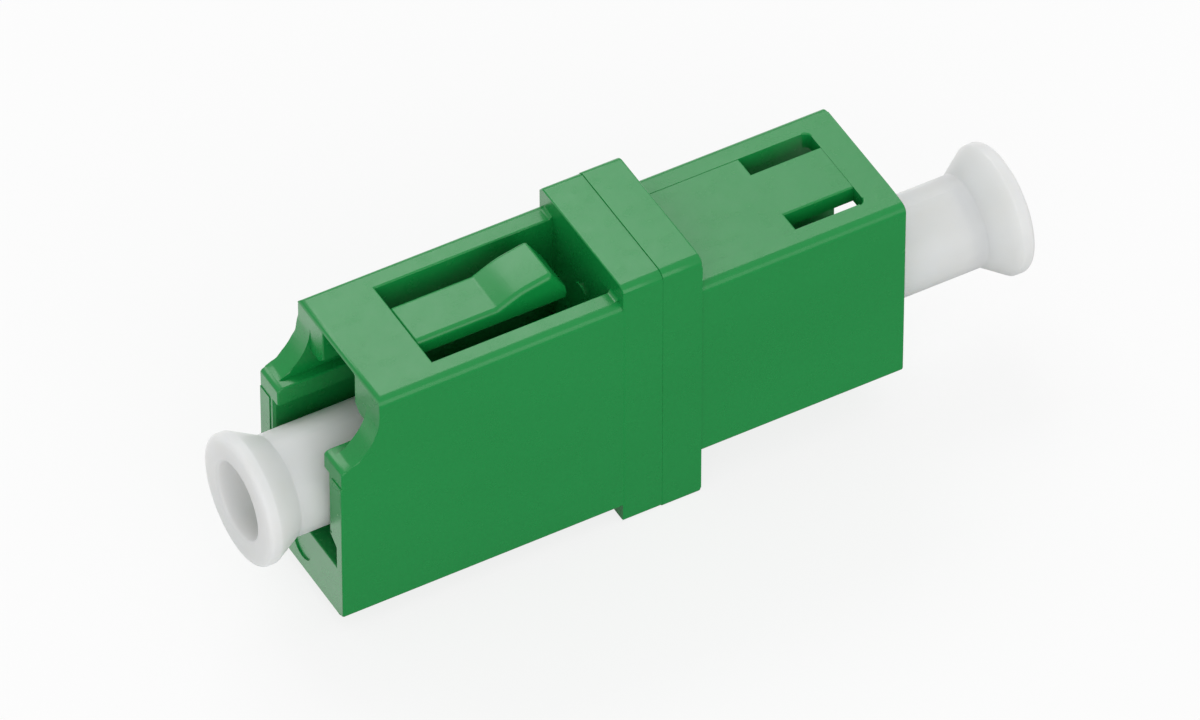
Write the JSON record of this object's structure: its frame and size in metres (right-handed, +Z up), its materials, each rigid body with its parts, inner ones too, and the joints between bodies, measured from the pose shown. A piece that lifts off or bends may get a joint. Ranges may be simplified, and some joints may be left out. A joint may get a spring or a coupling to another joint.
{
  "type": "lc fibre adapter",
  "caption": "Green simplex fibre-optic panel adapter: two-part flanged housing with a snap-in latch, a split alignment sleeve and a white dust cap in each port.",
  "frame": {"origin": "on the optical axis, in the parting plane where the two housing halves meet inside the flange", "axes": "+X along the optical axis towards the rear half with its top windows, +Y across, +Z up through the panel latch"},
  "size_m": [0.0365, 0.0072, 0.0137],
  "materials": {
    "housing": "moulded, semi-gloss green",
    "cap": "soft moulded white, slightly translucent",
    "sleeve": "polished white ceramic"
  },
  "bodies": {
    "housing": {"front_housing": "housing", "rear_housing": "housing", "alignment_sleeve": "sleeve"},
    "latch": {"panel_latch": "housing"},
    "front_cap": {"front_dust_cap": "cap"},
    "rear_cap": {"rear_dust_cap": "cap"}
  },
  "joints": [
    {"name": "front_cap_slide", "type": "slide", "parent": "housing", "child": "front_cap", "axis": [-1, 0, 0], "range_m": [0, 0.014]},
    {"name": "rear_cap_slide", "type": "slide", "parent": "housing", "child": "rear_cap", "axis": [1, 0, 0], "range_m": [0, 0.014]},
    {"name": "latch_flex", "type": "hinge", "parent": "housing", "child": "latch", "pos_m": [-0.01022, 0, 0.00584], "axis": [0, 1, 0], "range_deg": [0, 9], "stiffness_Nm_per_rad": 0.02}
  ]
}
